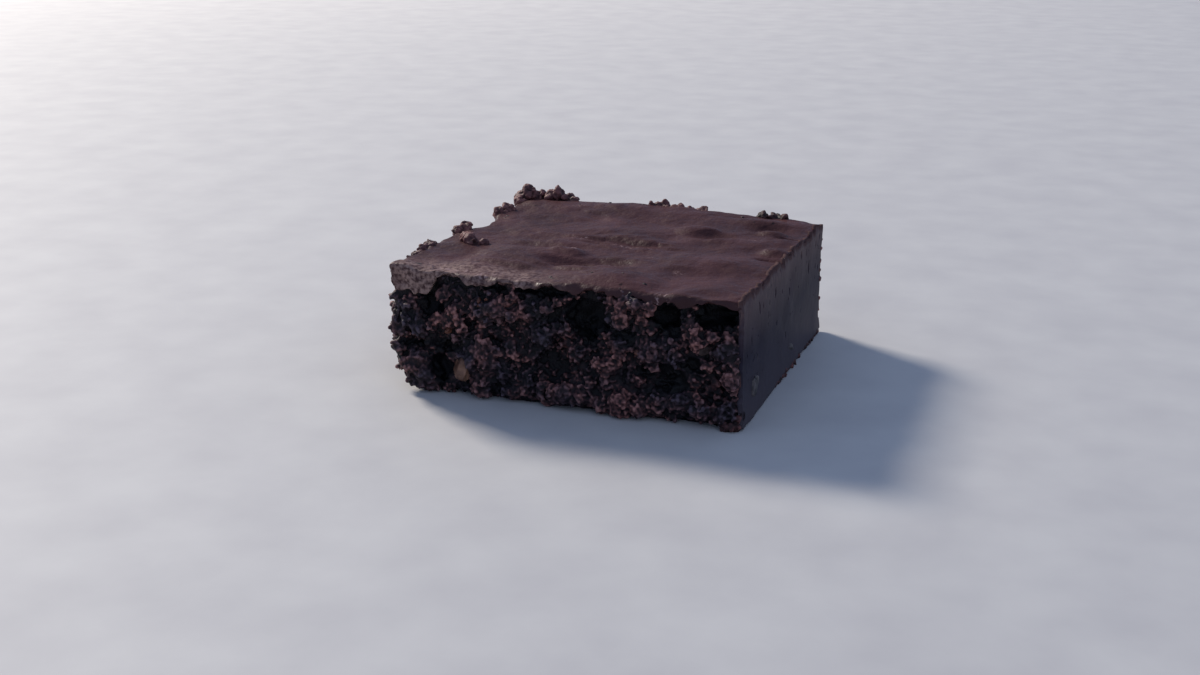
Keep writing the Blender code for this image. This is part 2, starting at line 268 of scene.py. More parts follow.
def fuse(piece, others, voxel):
    """Joins other meshes to the piece and makes one closed skin of all, as fine as the voxel."""
    pick(piece)
    for other in others:
        other.select_set(True)
    if others:
        bpy.ops.object.join()
    skin = piece.modifiers.new("one skin", "REMESH")
    skin.mode = "VOXEL"
    skin.voxel_size = voxel * MM
    apply_modifiers(piece)
    print(piece.name, "fused at", voxel, "mm:", triangles_of(piece), "triangles")


SMALL = [rough_pebble(1, 0.45, salt) for salt in range(6)]
ROUND = [rough_pebble(2, 0.45, salt) for salt in range(6, 12)]
BOULDER = [rough_pebble(3, 0.5, salt) for salt in range(12, 16)]
print(len(SMALL) + len(ROUND) + len(BOULDER), "rough pebbles to copy")

# %% [markdown]
# ## The forms of the top
#
# The crust swells where gas lifted it and dents where a bubble sank. Each form is a soft oval mound:
# its place across and along, half width, half length and height, below zero for a dent.

# %% Height of the top
TOP_FORMS = [
    (-15, -16, 9, 7, 1.2), (-7, -10, 4, 3, 1.1), (-4.5, -17, 6, 2.6, -1.5),
    (3.5, -14.5, 6, 2.8, -1.1), (7.5, -27, 11, 6, 1.1), (-24, -26, 8, 6, 0.5),
    (13, 15.5, 5, 3.6, 0.9), (17.5, 12, 4.6, 3, -0.7), (32.4, 3.4, 3, 2.6, 0.9),
    (27, 22, 5.5, 3.6, -0.7), (24, 27, 6, 3, 0.8), (2, 1.5, 9, 2, -0.6), (4, 4.5, 9, 2.4, 0.5),
    (-13, -4, 8, 2.2, 0.5), (20, -8, 11, 7, 0.6), (-20, 8, 10, 7, 0.5), (-4, 31, 24, 9, 0.9),
    (-27, 27, 8, 6, 0.6), (-34, -32.5, 4, 3.4, 0.9), (-8.5, 2.6, 5, 1.1, 0.5),
    (-2, -1.2, 6, 1, -0.5), (6, 2.6, 5, 1, 0.5), (10, -0.6, 5, 1.1, -0.4),
    (-14, -23, 7, 1.6, 0.5), (-1, -21, 5, 1.6, 0.6), (19, -18, 5, 2.6, -0.4), (24, 9, 6, 2.4, 0.4),
    (32.8, 15.2, 3, 1.1, -0.8), (28.2, 18.4, 3, 2.4, 0.6), (33.2, -2.2, 3.6, 1, -0.6),
]


def mounds(across, along, forms, spread):
    """The sum of the soft oval mounds at these places."""
    total = np.zeros(len(across))
    for a, b, wide, long, rise in forms:
        away = np.hypot((across - a) / (spread * wide), (along - b) / (spread * long))
        total += rise * ease(1.25 * (1 - away))
    return total


def top_at(x, y):
    flat = np.stack([x, y, np.zeros(len(x))], 1)
    return HIGH + mounds(x, y, TOP_FORMS, 1.35) + 0.4 * waves(flat, 9, 3) + 0.3 * waves(flat, 5, 4)


print("top from", *np.round(np.percentile(top_at(*chance.uniform(-33, 33, (2, 999))), [0, 100]), 1), "mm")

# %% [markdown]
# ## The forms of the torn sides
#
# A tear runs from air hole to air hole. The front is seen closest, so its hollows and lumps are named
# one by one: across, up, half width, half height and depth. The two sides that are turned away get
# forms of the same kind, drawn by chance from a fixed start.

# %% Hollows and lumps
FRONT_HOLLOWS = [
    (-27.5, 18.2, 2.8, 2.4, 3.8), (-25.6, 5.4, 3, 3.2, 4.4), (-24.2, 9.8, 2.6, 1.7, 2.8),
    (-13.5, 22.6, 2.2, 0.9, 2.2), (-3, 23, 6.5, 1.1, 2.8), (-1.5, 8.6, 7.5, 4.6, 1.8),
    (5.6, 18.6, 4, 5.2, 6), (-12, 11.5, 5, 1.2, 1.8), (13, 16, 2.6, 1.2, 2.4),
    (17, 9.4, 2.4, 1.5, 2.2), (20.8, 20, 3.4, 3, 5), (21.2, 8.2, 3.4, 3, 2.4),
    (31.3, 21.4, 4.6, 3, 6), (29.6, 7, 4.4, 2.6, 1.8), (-31, 9.8, 5.4, 0.8, 2.2),
    (-19, 15.4, 5, 0.9, 1.8), (26.4, 11.6, 2.2, 1.6, 2.2),
]
FRONT_LUMPS = [
    (14.6, 20.8, 4.4, 3.8, 2), (-12.9, 19.4, 5.4, 2.4, 2.2), (26.4, 18.8, 2.6, 3, 2.2),
    (10.6, 12, 2.6, 5, 1.6), (20.6, 14.4, 5, 2.2, 2), (12, 3.2, 17, 2.2, 1.6),
    (-31.8, 5.2, 3.2, 3.4, 1.9), (-32.5, 14.2, 3, 2.6, 1.8), (-16.5, 6.5, 3.6, 5, 1.2),
    (34, 13, 2, 8, 1.6), (33.4, 2.6, 2.4, 2.4, 1.4), (-2, 15.4, 3.4, 1.5, 1.4),
    (-24.6, 15.8, 4, 1.6, 1.3),
]


def drawn_forms(count, least, most, start=-31):
    """Forms at random places of a side, with sizes between two rows of limits."""
    places = chance.uniform((start, 4), (31, 22), (count, 2))
    return [tuple(row) for row in np.hstack([places, chance.uniform(least, most, (count, 3))])]


HOLLOWS = {
    "front": FRONT_HOLLOWS,
    "left": drawn_forms(10, (1.8, 1.0, 1.4), (4.4, 3.2, 4.2), start=-19),
    "back": drawn_forms(12, (1.8, 1.0, 1.4), (4.4, 3.2, 4.2)),
}
LUMPS = {
    "front": FRONT_LUMPS,
    "left": drawn_forms(9, (2.4, 2.0, 0.6), (5.5, 3.6, 1.5)),
    "back": drawn_forms(9, (2.4, 2.0, 0.6), (5.5, 3.6, 1.5)),
}
SALT = {"front": 11, "left": 23, "back": 37}
print({side: len(forms) for side, forms in HOLLOWS.items()}, "hollows")


# %% [markdown]
# ## Tearing the block
#
# A remeshed cube gives a skin of small even cells. Its points are pushed in by the depth of the tear
# on each torn side, which fades out towards the inside. The left edge swells and falls back, the
# lower left corner is worn away, and the front foot lifts off the plate there.

# %% The outline of the block
CRUST_THICK = 0.8


def edge_round(x, y):
    """The crust's bend and the width of its corner, both less at the front left, where a flap hangs."""
    flap = ease((-22.5 - x) / 5) * ease((-24 - y) / 7)
    return 1.5 - 0.3 * flap, 2.4 - 1.2 * flap


def left_edge(x, y):
    """How far the uneven left edge moves each place across, most at the edge and nothing further in."""
    swell = 1.2 * ease(1.25 - abs(y + 8) / 10)
    swell -= 2.6 * ease(1.25 - abs(y - 8.5) / 7) + 1.2 * ease(1.25 - abs(y - 21) / 7)
    return -swell * ease(1 - (x + HALF_WIDE) / 14)


def past_edge(x, y, corner):
    """How far places lie past the top's middle part, and which way."""
    near_x = np.maximum(x, corner - HALF_WIDE)
    near_y = np.clip(y, corner - HALF_DEEP, HALF_DEEP - corner)
    past = np.stack([x - near_x, y - near_y], 1)
    far = (np.abs(past) ** 6).sum(1) ** (1 / 6)
    return np.stack([near_x, near_y], 1), past / np.maximum(far, 1e-9)[:, None], far


def tuck_under(points):
    """Rounds the block's upper edge, so that it stays inside the crust."""
    bend, corner = edge_round(points[:, 0], points[:, 1])
    shift = left_edge(points[:, 0], points[:, 1])
    near, way, far = past_edge(points[:, 0] - shift, points[:, 1], corner)
    near = near + np.stack([shift, 0 * shift], 1)
    out = np.maximum(far - corner + bend, 0)
    over = np.maximum(points[:, 2] - top_at(points[:, 0], points[:, 1]) + bend, 0)
    keep = np.where(out > 0, np.minimum(1, (bend - 0.9) / np.maximum(np.hypot(out, over), 1e-9)), 1)
    keep = np.where(over > 0, keep, 1)
    moved = near + way * (far - out * (1 - keep))[:, None]
    return np.column_stack([moved, points[:, 2] - over * (1 - keep)])


print("left edge moved by", *np.round(-left_edge(-HALF_WIDE, np.array([-8.0, 8.5])), 1), "mm at two places")


# %% How deep the tear is
def tear_depth(side, across, up):
    place = np.stack([across, np.full(len(across), 5.0 * SALT[side]), up], 1)
    depth = 2.2 + 1.15 * waves(place, 4.2, 1) + 0.8 * waves(place, 1.9, 2)
    depth += 0.65 * mounds(across, up, HOLLOWS[side], 1.3)
    depth -= mounds(across, up, LUMPS[side], 1.4)
    foot = 0.5 * line_waves(across, 2.6, SALT[side]) * ease(1 - up / 2)
    return np.clip(depth + foot, 0.5, None)


def torn(points):
    """Where the points of the plain block go."""
    x, y, z = points.T
    front = tear_depth("front", x, z) * ease(1 - (y + HALF_DEEP) / 12)
    back = tear_depth("back", x, z) * ease(1 - (HALF_DEEP - y) / 12)
    left = tear_depth("left", y, z) * ease(1 - (x + HALF_WIDE) / 12)
    left *= 1 - 0.6 * ease((-25 - y) / 6)
    front *= 1 - 0.3 * ease((-30 - x) / 5)
    worn = 3.6 * ease(1 - z / 6.5) * ease((-12 - y) / 14) * ease(1 - (x + HALF_WIDE) / 12)
    lift = 1.8 * ease((-14 - x) / 13) * ease(1 - (y + HALF_DEEP) / 12) * ease(1 - z / 4)
    high = z / HIGH * (top_at(x, y) - 0.75 * CRUST_THICK)
    return np.stack([x + left + worn + left_edge(x, y), y + front - back, high + lift], 1)


depths = tear_depth("front", np.linspace(-30, 30, 99), np.full(99, 12.0))
print("front torn", *np.round([depths.min(), depths.max()], 1), "mm deep at half height")

# %% The plain block, then the torn one
bpy.ops.mesh.primitive_cube_add(
    size=1,
    location=(0, 0, 0.5 * HIGH * MM),
    scale=(2 * HALF_WIDE * MM, 2 * HALF_DEEP * MM, HIGH * MM),
)
bpy.ops.object.transform_apply(location=True, rotation=True, scale=True)
body = bpy.context.object
body.name = "torn_body"
BLOCK_CELL = 0.5
fuse(body, [], BLOCK_CELL)
set_points(body, tuck_under(torn(points_of(body))))

# %% [markdown]
# ## Opening the air holes
#
# The deep holes are wider inside than at their mouths, which moving points can't give. So rough balls
# are fused into one cutter, and a Boolean takes it from the block. Three balls make a hole, since one
# alone would look too round.

# %% Combining two solids
def combine(piece, tool, operation):
    """Cuts the tool away from the piece, or keeps what both share, and removes the tool."""
    joining = piece.modifiers.new("boolean", "BOOLEAN")
    joining.operation = operation
    joining.solver = "MANIFOLD"
    joining.object = tool
    apply_modifiers(piece)
    bpy.data.objects.remove(tool)


def side_place(side, across, up, inwards):
    """A place a little inside a torn side."""
    if side == "front":
        return (across, inwards - HALF_DEEP, up)
    if side == "back":
        return (across, HALF_DEEP - inwards, up)
    return (inwards - HALF_WIDE, across, up)


print("a place 2 mm inside the left side:", side_place("left", 0, 12, 2))

# %% Cutting the deep holes
DEEP_ENOUGH = 1.9
holes = []
for side, forms in HOLLOWS.items():
    for across, up, wide, tall, deep in forms:
        if deep > DEEP_ENOUGH:
            for off, grown in ((0, 0.8), (0.65, 0.6), (0.65, 0.55)):
                angle = chance.uniform(0, 2 * math.pi)
                a, b = across + off * wide * math.cos(angle), up + off * tall * math.sin(angle)
                wider, taller, deeper = grown * wide, grown * tall, grown * 0.75 * deep
                halves = (deeper, wider, taller) if side == "left" else (wider, deeper, taller)
                holes.append((side_place(side, a, b, 0.8 + 0.42 * deep), halves))
hole_places = np.array([place for place, _ in holes], float)
hole_halves = np.array([halves for _, halves in holes], float)
cutter = strew("hole_cutter", BOULDER, hole_places, hole_halves, turned=False)
fuse(cutter, [], 0.4)
combine(body, cutter, "DIFFERENCE")
print(len(holes), "balls cut as deep holes")

# %% [markdown]
# ## Nodules
#
# Between the holes the crumb breaks into rounded nodules. They gather in clumps, where slow waves are
# high, and the walls of the holes stay bare.

# %% Places on the torn sides
def in_hole(points, grown):
    """How far inside a deep hole each point is, from 0 outside to 1 in the middle."""
    inside = np.zeros(len(points))
    for place, halves in zip(hole_places, hole_halves):
        away = np.linalg.norm((points - place) / (halves * grown), axis=1)
        inside = np.maximum(inside, 1 - away)
    return np.clip(inside, 0, 1)


def torn_places(piece, count, clump, headroom):
    """Random places of the piece's torn sides, with the way out of each."""
    points = points_of(piece)
    ways = normals_of(piece)
    x, y, z = points.T
    edge = np.minimum(np.minimum(x + HALF_WIDE, y + HALF_DEEP), HALF_DEEP - y)
    good = (edge < 8) & (x < HALF_WIDE - 0.7) & (z > 0.6) & (z < top_at(x, y) - headroom)
    good &= (x > -25) | (y > 4 - HALF_DEEP) | (z < 19.5)
    liking = np.exp(1.8 * waves(points, clump, 5) - 0.45 * edge) * good
    liking *= np.where(in_hole(points, 1.12) > 0, 0.03, 1)
    chosen = chance.choice(len(points), count, replace=False, p=liking / liking.sum())
    return points[chosen], ways[chosen]


print("in a hole's middle:", in_hole(hole_places[:1], 1)[0])

# %% Nodules joined to the body
NODULES = 1500
places, ways = torn_places(body, NODULES, 3.6, 2.2)
radius = 0.45 + 0.8 * chance.random(len(places)) ** 1.8
halves = radius[:, None] * chance.uniform(0.7, 1.35, (len(places), 3))
nodules = strew("nodules", ROUND, places + ways * (0.45 * radius)[:, None], halves)
fuse(body, [nodules], 0.36)

# %% [markdown]
# ## Front and rest
#
# The front is seen closest, so it becomes a piece of its own, with a finer skin. A Boolean with a
# plain box keeps a part of a solid and closes the cut. The two parts overlap a little inside.

# %% Keeping a part and thinning
def keep_part(piece, low, high):
    """Keeps what lies inside the box between these two corners."""
    middle = (Vector(low) + Vector(high)) / 2 * MM
    bpy.ops.mesh.primitive_cube_add(size=1, location=middle, scale=(Vector(high) - Vector(low)) * MM)
    bpy.ops.object.transform_apply(location=True, rotation=True, scale=True)
    combine(piece, bpy.context.object, "INTERSECT")


def thin_to(piece, most):
    """Keeps about this many triangles."""
    before = triangles_of(piece)
    if before > most:
        thinning = piece.modifiers.new("thinning", "DECIMATE")
        thinning.ratio = most / before
        apply_modifiers(piece)
    print(piece.name, "thinned from", before, "to", triangles_of(piece), "triangles")


def drop_strays(piece, least):
    """Deletes islands of fewer points than the least, such as a crumb that touches nothing."""
    one, two = edge_ends(piece)
    island = np.arange(len(piece.data.vertices))
    while True:
        lowest = island.copy()
        np.minimum.at(lowest, one, island[two])
        np.minimum.at(lowest, two, island[one])
        lowest = lowest[lowest]
        if (lowest == island).all():
            break
        island = lowest
    sizes = np.bincount(island, minlength=len(island))
    stray = sizes[island] < least
    edit_whole(piece, bpy.ops.mesh.select_all, action="DESELECT")
    piece.data.vertices.foreach_set("select", stray)
    bpy.ops.object.mode_set(mode="EDIT")
    bpy.ops.mesh.delete(type="VERT")
    bpy.ops.object.mode_set(mode="OBJECT")
    strays = int(((sizes > 0) & (sizes < least)).sum())
    print(piece.name, "lost", int(stray.sum()), "points of", strays, "strays")


print("a plain box keeps a part")

# %% Splitting the body
FAR, BELOW = 60, -9
SPLIT, OVERLAP = -22, 0.5
pick(body)
bpy.ops.object.duplicate()
front = bpy.context.object
front.name = "torn_front"
keep_part(front, (-FAR, -FAR, BELOW), (FAR, SPLIT, FAR))
keep_part(body, (-FAR, SPLIT - OVERLAP, BELOW), (FAR, FAR, FAR))
print("front", triangles_of(front), "and rest", triangles_of(body), "triangles")

# %% [markdown]
# ## Crumbs
#
# The finest crumbs are half a millimetre to a millimetre across, about as small as the eye makes out
# on a plate. They sit on the nodules the same way, and a finer skin fuses them.

# %% Crumbs joined to both parts
for part, count, least, voxel in ((front, 9000, 0.17, 0.2), (body, 6500, 0.24, 0.27)):
    places, ways = torn_places(part, count, 1.7, 0.6)
    radius = least + 0.32 * chance.random(len(places)) ** 1.6
    halves = radius[:, None] * chance.uniform(0.7, 1.4, (len(places), 3))
    crumbs = strew("crumbs", SMALL, places + ways * (0.8 * radius)[:, None], halves)
    fuse(part, [crumbs], voxel)

# %% [markdown]
# ## Trimming the body
#
# The knife went straight down on the right, so everything past the cut goes, and so do what would
# stick into the plate and crumbs that are left on their own. Decimate thins the flat parts, where
# big triangles do as well as small ones.

# %% Trimming and thinning
ABOVE_PLATE = 0.04
INSIDE_CUT = 0.3
for part, most in ((front, 190000), (body, 182000)):
    keep_part(part, (-FAR, -FAR, ABOVE_PLATE), (HALF_WIDE - INSIDE_CUT, FAR, FAR))
    drop_strays(part, 3000)
    thin_to(part, most)

# %% [markdown]
# ## The crust
#
# The crust is a thin skin that dried on top while the inside stayed soft. It is a grid whose middle
# follows the swells and whose outer rows bend down over the torn sides. It hangs as a broad flap at
# the left end of the front, and over an open hole it is only a thin roof. Three values are stored
# with it for its finish: how near the rim a place is, how frosted it is with painted light on the
# frost, and where painted glints lie on the film.

# %% How the crust hangs
def flat_grid(name, columns, rows):
    """A flat grid, and how far along its columns and its rows each point lies, from 0 to 1."""
    bpy.ops.mesh.primitive_grid_add(x_subdivisions=columns, y_subdivisions=rows, size=2 * MM)
    piece = bpy.context.object
    piece.name = name
    u, v, _ = ((points_of(piece) + 1) / 2).T
    return piece, u, v


def hang_at(side, along):
    """How far the crust bends down past its edge, in millimetres."""
    ragged = 0.8 * line_waves(along, 2.3, SALT[side] + 3) + 0.8 * line_waves(along, 0.9, SALT[side] + 4)
    hang = 0.6 + ragged + 0.7 * line_waves(along, 6, SALT[side] + 5)
    if side == "front":
        hang += 3.3 * ease((-24.4 - along) / 3.2)
        hang -= 0.9 * ease(1 - abs(along - 31) / 5.5) + 0.7 * ease(1 - abs(along + 2.5) / 5)
        hang -= 0.6 * ease(1 - abs(along - 8) / 4)
    return np.clip(hang, -1.0, None)


def crust_place(across, along):
    """Bends a flat sheet over the edges of the top. Past an edge, distance becomes depth."""
    bend, corner = edge_round(across, along)
    near, way, far = past_edge(across, along, corner)
    angle = np.clip((far - corner + bend) / bend, 0, math.pi / 2)
    hanging = np.clip(far - corner + bend - bend * math.pi / 2, 0, None)
    out = np.where(far < corner - bend, far, corner - bend + bend * np.sin(angle)) - 0.05 * hanging
    flat = np.stack([across, along, np.zeros(len(across))], 1)
    rim = ease((far - 0.6) / 1.4)
    rough = rim * (0.45 + 0.55 * ease(0.5 - waves(flat, 8, 17)))
    out += rim * (0.45 * waves(flat, 3.6, 7) - 0.2)
    out += rough * (0.4 * waves(flat, 2.4, 8) + 0.25 * waves(flat, 1.1, 15))
    place = near + way * out[:, None]
    down = bend * (1 - np.cos(angle)) + hanging
    lumpy = 0.14 * waves(flat, 2.6, 9) + 0.05 * waves(flat, 1.3, 10)
    lumpy = lumpy + 0.25 * rough * waves(flat, 2.0, 12)
    cracked = ease(1.3 - np.hypot((across - 3) / 17, (along - 1) / 8))
    crack = ease(1 - np.abs(waves(flat, 6, 13)) / 0.06) * cracked
    high = top_at(*place.T) - down + lumpy - 0.12 * crack
    return np.stack([place[:, 0] + left_edge(*place.T), place[:, 1], high], 1), rim


print("crust hangs", np.round(hang_at("front", np.array([-30.0, 0.0, 31.0])), 1), "mm at three places")

# %% The crust as a bent grid
crust, u, v = flat_grid("crust", 236, 200)
left_hang = hang_at("left", v * 2 * HALF_DEEP - HALF_DEEP) * ease(3 * u + 1)
across = -HALF_WIDE - left_hang + u * (2 * HALF_WIDE - 0.5 + left_hang)
FRONT_ROWS, BAND = 0.3, 5
front_hang = hang_at("front", across)
back_hang = hang_at("back", across)
in_band = BAND - HALF_DEEP - (BAND + front_hang) * (1 - v / FRONT_ROWS)
behind = BAND - HALF_DEEP + (v - FRONT_ROWS) / (1 - FRONT_ROWS) * (2 * HALF_DEEP - BAND + back_hang)
along = np.where(v < FRONT_ROWS, in_band, behind)
places, rim = crust_place(across, along)
set_points(crust, places)
print("front hang", *np.round([front_hang.min(), front_hang.max()], 1), "mm")

# %% Marks for the finish, then thickness
GLINTS = [
    (-8.7, 1.1, 3.2, 1.2), (3.6, -0.3, 5.5, 1.4), (4.4, -14.2, 2.2, 1.4), (26.2, 10.9, 2, 1.2),
    (18.9, -17.5, 1.6, 1.2), (20.4, -33.4, 2, 1.6), (10.9, -9, 1.6, 1.2),
    (27.1, 21.6, 3.2, 2.2), (32.2, 3.9, 2.4, 1.8), (-6.3, -8.7, 2.6, 1.8), (-19, 27, 2, 1.4),
    (-24, -31, 6, 1.6), (-16, -32, 5, 1.7), (-9, -32.6, 4, 1.5),
]
# Frost with painted light: highest near the front left edge and most on the flap, for sheen and lamp light.
frost_and_light = ease(1.15 - (places[:, 1] + HALF_DEEP) / 11) * ease((6 - places[:, 0]) / 18)
frost_and_light *= 0.45 + 0.55 * ease(0.6 + 0.9 * waves(places * (1, 1, 0), 4, 16))
frost_and_light *= 0.6 + 0.4 * ease((-24 - places[:, 0]) / 3) * ease((-32.6 - places[:, 1]) / 1.2)
glint = np.zeros(len(places))
for x, y, wide, long in GLINTS:
    glint = np.maximum(glint, 1 - np.hypot((places[:, 0] - x) / wide, (places[:, 1] - y) / long))
for name, values in (("rim", rim), ("frost_and_light", frost_and_light), ("glint", glint)):
    set_mark(crust, name, values)
wall = crust.modifiers.new("thickness", "SOLIDIFY")
wall.thickness = CRUST_THICK * MM
wall.offset = -1
apply_modifiers(crust)
print("crust:", triangles_of(crust), "triangles")

# %% [markdown]
# ## The cut side
#
# The knife smeared the crumb into a smooth skin and closed most of its holes. The skin is a grid on
# the cut plane. Its top edge is frayed into small teeth where the blade dragged the crust, its foot
# is broken, and its lower part flares out a little. Slits are left where the blade opened an air hole.
# A Boolean cuts those, because they are finer than the grid.

# %% The outline of the cut skin
CUT_SKIN = 0.9


def flare_at(z):
    """How far the lower part of the cut side stands out."""
    return 0.35 * ease(1 - z / 9)


cut, u, v = flat_grid("cut_side", 210, 84)
deep, tall = u * 2 * HALF_DEEP, v * HIGH
torn_teeth = 0.9 * line_waves(deep, 1.3, 51) + 0.5 * line_waves(deep, 0.6, 49)
frayed = 0.3 * line_waves(deep, 3.1, 50) + np.clip(torn_teeth, -0.3, 0.6)
broken = 0.7 * ease((u - 0.4) / 0.35) * np.abs(line_waves(deep, 1.5, 52))
foot = np.clip(0.25 + broken + 0.2 * line_waves(deep, 0.8, 53), 0.15, None)
front_edge = -HALF_DEEP + 0.9 + 0.5 * line_waves(tall, 2.4, 54) + 0.45 * line_waves(tall, 0.9, 55)
back_edge = HALF_DEEP - 0.5 + 0.45 * line_waves(tall, 2.2, 56) + 0.3 * line_waves(tall, 0.9, 57)
along = front_edge + u * (back_edge - front_edge)
head = top_at(np.full(len(u), HALF_WIDE), along) - 0.1 + frayed - 0.5 * ease((u - 0.96) / 0.04)
high = foot + v * (head - foot)
print("cut side from", round(foot.min(), 2), "to", round(head.max(), 2), "mm high")

# %% The cut skin as a grid
flat = np.stack([np.zeros(len(u)), along, high], 1)
drag = 0.02 * waves(flat, 1.3, 58) + 0.16 * waves(flat, 5, 59)
teeth = ease((high - HIGH + 1.6) / 1.6) * (0.3 * waves(flat, 0.9, 60) - 0.2)
set_points(cut, np.stack([HALF_WIDE + drag + teeth + flare_at(high), along, high], 1))
set_mark(cut, "lip", ease((v - 0.95) / 0.04))
wall = cut.modifiers.new("thickness", "SOLIDIFY")
wall.thickness = CUT_SKIN * MM
wall.offset = -1
apply_modifiers(cut)
edit_whole(cut, bpy.ops.mesh.normals_make_consistent, inside=False)
print("cut side:", triangles_of(cut), "triangles")

# %% Slits and pits in the cut side
SLITS = [
    (21, 18, 0.55, 1.7), (-8.8, 20.4, 0.45, 1.4), (-21.4, 20.5, 0.4, 1.2),
    (3.6, 17.2, 0.35, 0.9), (13.5, 22.4, 0.35, 1), (18.6, 22, 0.3, 1.3),
    (-14.5, 17.4, 0.25, 0.9), (27, 21.6, 0.3, 1), (30.5, 22.4, 0.25, 0.8),
    (-27, 16, 0.25, 0.8), (-24.2, 12, 0.25, 0.5), (-3, 19, 0.25, 0.5),
    (-18.8, 20.6, 0.2, 0.9), (-32.6, 2.6, 1.5, 1.4), (33.2, 4.2, 0.9, 1.2), (32.8, 13.5, 0.5, 1.4),
]
slit_places = [(HALF_WIDE + 0.1, y, z) for y, z, _, _ in SLITS]
slit_halves = [(0.8, wide, tall) for _, _, wide, tall in SLITS]
PITS = 46
for _ in range(PITS):
    y, z = chance.uniform(-31, 32), 24 - 21 * chance.random() ** 1.4
    size = 0.12 + 0.16 * chance.random()
    slit_places.append((HALF_WIDE + 0.1 + flare_at(z), y, z))
    slit_halves.append((0.5, size, size * chance.uniform(1, 3.2)))
slits = strew("slit_cutter", ROUND, np.array(slit_places), np.array(slit_halves), turned=False)
fuse(slits, [], 0.12)
combine(cut, slits, "DIFFERENCE")
print(len(slit_places), "slits and pits, cut side", triangles_of(cut), "triangles")

# %% [markdown]
# ## Scraps along the edges
#
# Torn bits of crust and crumb stand up along the left and back edges, with one loose crumb on top.
# Smaller ones hang at the foot and the back edge of the cut side. Each scrap is a knot of pebbles
# round one place, which a fine skin fuses and waves make craggy.

# %% Where the scraps lie
SCRAPS = [
    (-34.6, 32.6, 26.2, 3), (-33.6, 33, 27.9, 1.9), (-31.2, 33.4, 26.2, 2.6),
    (-27.9, 33.4, 26.9, 2.6), (-25.4, 33.8, 26.2, 2.2), (-22.8, 33.8, 25.7, 1.6),
    (-34.4, 29.6, 25.6, 1.7), (-34.6, 20.2, 25.4, 1.9), (-35.4, 17.6, 25, 1.9),
    (-35.6, 1.2, 25.5, 1.8), (-35.4, -1.2, 25.2, 1.6), (-35.6, -12.6, 25.3, 1.5),
    (-35.6, -15, 24.9, 1.3), (-35.7, -19, 25.6, 1.1), (-35.8, -21.5, 24.9, 1.2),
    (-35.1, -26.5, 24.4, 1.3), (-34.9, -31.8, 24.5, 1.1), (-3.2, 33.6, 25.6, 1.8),
    (-0.6, 33.8, 25.8, 1.6), (2, 33.5, 25.5, 1.8), (5.4, 33.7, 25.6, 1.6), (8.2, 33.7, 25.4, 1.4),
    (22.4, 33.4, 25.5, 1.7), (24.8, 33.7, 25.6, 1.6), (27.2, 33.5, 25.4, 1.4),
    (-29.3, -8.8, 25.7, 1.9), (-28.2, -9.4, 25.6, 1.5), (-26.4, -8.6, 25.1, 1.2),
    (-35.8, -14.6, 24.6, 1), (-35.8, -20.6, 24.6, 1.1), (-35.7, -23.4, 24.5, 1.2),
]
foot_knots = [(35.75, y, 0.75, chance.uniform(0.55, 1.0)) for y in np.arange(-7.0, 32.5, 1.7)]
side_knots = [(35.3, 33.5, z, chance.uniform(0.6, 1.0)) for z in np.arange(3.0, 23.5, 2.3)]
corner_knots = [(34.9, -33.2, 0.9, 1.3), (33.2, -33.4, 1.0, 1.2), (35.2, -32.6, 2.6, 0.9)]
knots = SCRAPS + foot_knots + side_knots + corner_knots
print(len(knots), "knots of crumb")

# %% Knots of crumb
PEBBLES, CORES = 22, 3
knot_places, knot_halves = [], []
for x, y, z, size in knots:
    x += float(left_edge(x, y))
    for i in range(PEBBLES):
        step = np.clip(chance.normal(size=3), -1.5, 1.5) * 0.38 * size * (1.1, 1, 0.7)
        lump = size * (0.68 if i < CORES else chance.uniform(0.12, 0.36))
        knot_places.append(np.array([x, y, z - 0.35 * size]) + (0.6 * step if i < CORES else step))
        knot_halves.append(lump * chance.uniform(0.7, 1.3, 3))
scraps = strew("edge_scraps", BOULDER, np.array(knot_places), np.array(knot_halves))
fuse(scraps, [], 0.2)
points = points_of(scraps)
crag = 0.28 * waves(points, 1.0, 90) + 0.16 * waves(points, 0.45, 91)
set_points(scraps, points + crag[:, None] * normals_of(scraps))
keep_part(scraps, (-FAR, -FAR, ABOVE_PLATE), (FAR, FAR, FAR))
drop_strays(scraps, 150)
thin_to(scraps, 90000)

# %% [markdown]
# ## Bits of nut
#
# Two bits of nut stick out of the torn front and two were sliced with the cut side. Each is a ball
# flattened by a few planes, since a chopped nut has broken flats and a worn skin. Bisect cuts the
# sliced ones by a plane, just proud of the cut side.

# %% Chopped nuts
NUTS = [
    ("nut_low_front", (-20.4, -33.4, 5.4), (2.6, 2.2, 3.2)),
    ("nut_high_front", (27.4, -32.4, 15.6), (2.5, 1.8, 1.9)),
    ("nut_near_cut", (35.2, -24.0, 5.8), (2.1, 2.6, 2.1)),
    ("nut_far_cut", (35.2, 5.6, 4.6), (2.0, 3.1, 1.7)),
]
PROUD, FLATS = 0.31, 10
nuts = []
for i, (node, place, halves) in enumerate(NUTS):
    points, faces = rough_pebble(5, 0.25, 70 + i)
    for _ in range(FLATS):
        way = chance.normal(size=3)
        way /= np.linalg.norm(way)
        past = np.clip(points @ way - chance.uniform(0.5, 0.8), 0, None)
        points -= 0.95 * past[:, None] * way
    points *= 1 + 0.05 * waves(points, 0.25, 80 + i)[:, None]
    nut = strew(node + "_bit", [(points, faces)], np.array([place]), np.array([halves]), turned=False)
    if "cut" in node:
        at = Vector((HALF_WIDE + PROUD + float(flare_at(place[2])), 0, 0)) * MM
        bisect = bpy.ops.mesh.bisect
        edit_whole(nut, bisect, plane_co=at, plane_no=(1, 0, 0), use_fill=True, clear_outer=True)
    nuts.append(nut)
    print(nut.name, triangles_of(nut), "triangles")

# %% [markdown]
# ## Bits of orange peel
#
# A few small bits of candied peel catch the light in the torn front, near the left end and under the
# crust. They are strewn pebbles again, in a warmer finish.

